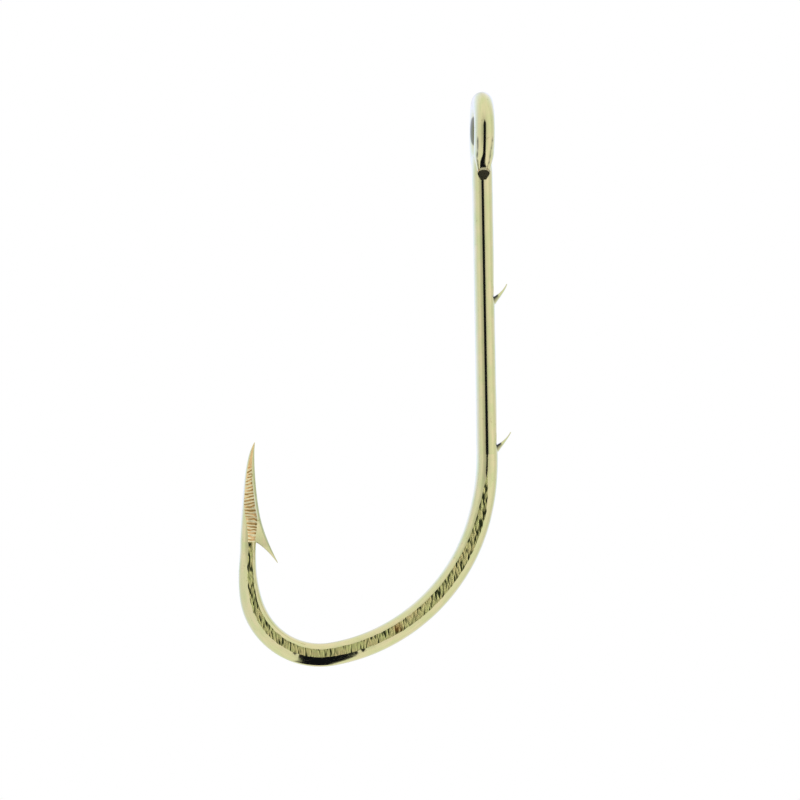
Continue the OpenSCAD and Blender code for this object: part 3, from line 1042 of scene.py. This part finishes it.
# Studio walls: angle from the camera's side, towards +X, then brightness and blueness.
WALLS = [
    (-180, 0.9, 0.15),
    (-160, 1.2, 0.4),
    (-145, 1.3, 0.52),
    (-128, 1.3, 0.56),
    (-106, 1.14, 0.42),
    (-80, 1.03, 0.1),
    (-55, 1.05, 0.03),
    (-40, 0.8, 0),
    (-28, 0.68, 0),
    (-16, 0.6, 0),
    (8, 0.7, 0),
    (18, 0.85, 0),
    (30, 1.02, 0),
    (60, 1.12, 0),
    (85, 0.96, 0),
    (106, 1.0, 0.1),
    (128, 1.15, 0.32),
    (145, 1.2, 0.4),
    (160, 1.15, 0.35),
    (180, 0.9, 0.15),
]
middle = (cad_box[0] + cad_box[1]) / 2


def build_camera():
    """Long lens that looks at the front face of the hook from slightly to the left."""
    camera = bpy.data.objects.new("camera", bpy.data.cameras.new("camera"))
    bpy.context.scene.collection.objects.link(camera)
    aim = middle + AIM_FROM_MIDDLE * MM
    a = math.radians(VIEW_AZIMUTH)
    back = Vector((math.sin(a), -math.cos(a), 0))
    camera.location = aim + back * VIEW_DISTANCE * MM
    turned = (-back).to_track_quat("-Z", "Y").to_matrix().to_4x4()
    roll = math.radians(-VIEW_ROLL)
    camera.rotation_euler = (turned @ Matrix.Rotation(roll, 4, "Z")).to_euler()
    camera.data.sensor_width = SENSOR
    camera.data.lens = SENSOR * VIEW_DISTANCE / FRAME_SIZE
    camera.data.clip_start = 0.01
    camera.data.clip_end = 20
    bpy.context.scene.camera = camera


def emitter(name, colour):
    """Material that gives off the colour evenly."""
    material = bpy.data.materials.new(name)
    material.use_nodes = True
    nodes = material.node_tree.nodes
    nodes.clear()
    output = nodes.new("ShaderNodeOutputMaterial")
    light = nodes.new("ShaderNodeEmission")
    light.inputs["Color"].default_value = (*colour, 1)
    material.node_tree.links.new(light.outputs[0], output.inputs["Surface"])
    return material


def glowing_surface(name, places, faces, colours):
    """Surface for the studio, with a material that gives off each of the colours."""
    mesh = bpy.data.meshes.new(name)
    mesh.from_pydata(places, [], faces)
    for i, colour in enumerate(colours):
        mesh.materials.append(emitter(f"{name}_{i}", colour))
    surface = bpy.data.objects.new(name, mesh)
    bpy.context.scene.collection.objects.link(surface)
    return surface


def build_floor():
    """Plain white floor, which the wire doesn't mirror."""
    r, z = FLOOR_HALF * MM, -FLOOR_DROP * MM
    places = [(-r, -r, z), (r, -r, z), (r, r, z), (-r, r, z)]
    floor = glowing_surface("floor", places, [(0, 1, 2, 3)], [(1, 1, 1)])
    floor.visible_glossy = False


def build_cloth():
    """Dark cloth that runs from above the camera, down behind it to below the hook. It is
    narrower at its lower end, with a grey hem on both sides."""
    places, faces = [], []
    count = 60
    rounded = 6         # steps over which its top is rounded
    sideways = math.tan(math.radians(CLOTH_AZIMUTH))
    for k in range(count + 1):
        degrees = mix(CLOTH_TOP, CLOTH_END, k / count)
        lowered = ease((CLOTH_NARROWS[0] - degrees) / CLOTH_NARROWS[1])
        half = CLOTH_REACH * math.tan(math.radians(CLOTH_HALF)) * mix(1, CLOTH_LOW, lowered)
        half *= ease((k + 1) / (rounded + 1))
        hem = 1 + CLOTH_HEM * lowered
        aside = CLOTH_REACH * CLOTH_SLANT * ease((CLOTH_SLANTS[0] - degrees) / CLOTH_SLANTS[1])
        y, z = -CLOTH_REACH * cos_deg(degrees), CLOTH_REACH * math.sin(math.radians(degrees))
        for side in (-hem, -1, 1, hem):
            places.append(Vector((side * half - y * sideways + aside, y, z + middle.z / MM)) * MM)
        if k:
            for first in (4 * k - 4, 4 * k - 3, 4 * k - 2):
                faces.append((first, first + 1, first + 5, first + 4))
    cloth = glowing_surface("dark_cloth", places, faces, [CLOTH_BLACK, HEM_GREY])
    cloth.data.polygons.foreach_set("material_index", [1, 0, 1] * count)
    cloth.visible_camera = False


def build_world():
    """White studio. Its walls are brighter beside and behind the hook than by the camera."""
    world = bpy.data.worlds.new("studio")
    bpy.context.scene.world = world
    world.use_nodes = True
    nodes, links = world.node_tree.nodes, world.node_tree.links
    place = add(world, "ShaderNodeTexCoord").outputs["Generated"]
    split = add(world, "ShaderNodeSeparateXYZ", i0=place).outputs
    towards = add(world, "ShaderNodeMath", operation="MULTIPLY", i0=split["Y"], i1=-1).outputs[0]
    azimuth = add(world, "ShaderNodeMath", operation="ARCTAN2", i0=split["X"], i1=towards).outputs[0]
    walls = add(world, "ShaderNodeValToRGB", i0=remap(world, azimuth, -math.pi, math.pi, 0, 1))
    ramp = walls.color_ramp
    ramp.interpolation = "EASE"
    while len(ramp.elements) < len(WALLS):
        ramp.elements.new(0.5)
    for element, (degrees, level, tint) in zip(ramp.elements, WALLS):
        element.position = 0.5 + degrees / 360
        element.color = [level / BRIGHTEST * c for c in (1 - tint / 5, 1, 1 + tint)] + [1]
    away = add(world, "ShaderNodeMath", operation="ABSOLUTE", i0=split["Z"]).outputs[0]
    ceiling = [OVERHEAD / BRIGHTEST] * 3
    light = blend(world, away, *CEILING, 1, walls.outputs["Color"], ceiling)
    nodes["Background"].inputs["Strength"].default_value = BRIGHTEST
    links.new(light, nodes["Background"].inputs["Color"])
    white = add(world, "ShaderNodeBackground", i0=(1, 1, 1, 1))
    seen = add(world, "ShaderNodeLightPath").outputs["Is Camera Ray"]
    studio = nodes["Background"].outputs[0]
    choose = add(world, "ShaderNodeMixShader", i0=seen, i1=studio, i2=white.outputs[0])
    links.new(choose.outputs[0], nodes["World Output"].inputs["Surface"])


build_camera()
build_floor()
build_cloth()
build_world()
bpy.context.scene.view_settings.view_transform = "Standard"
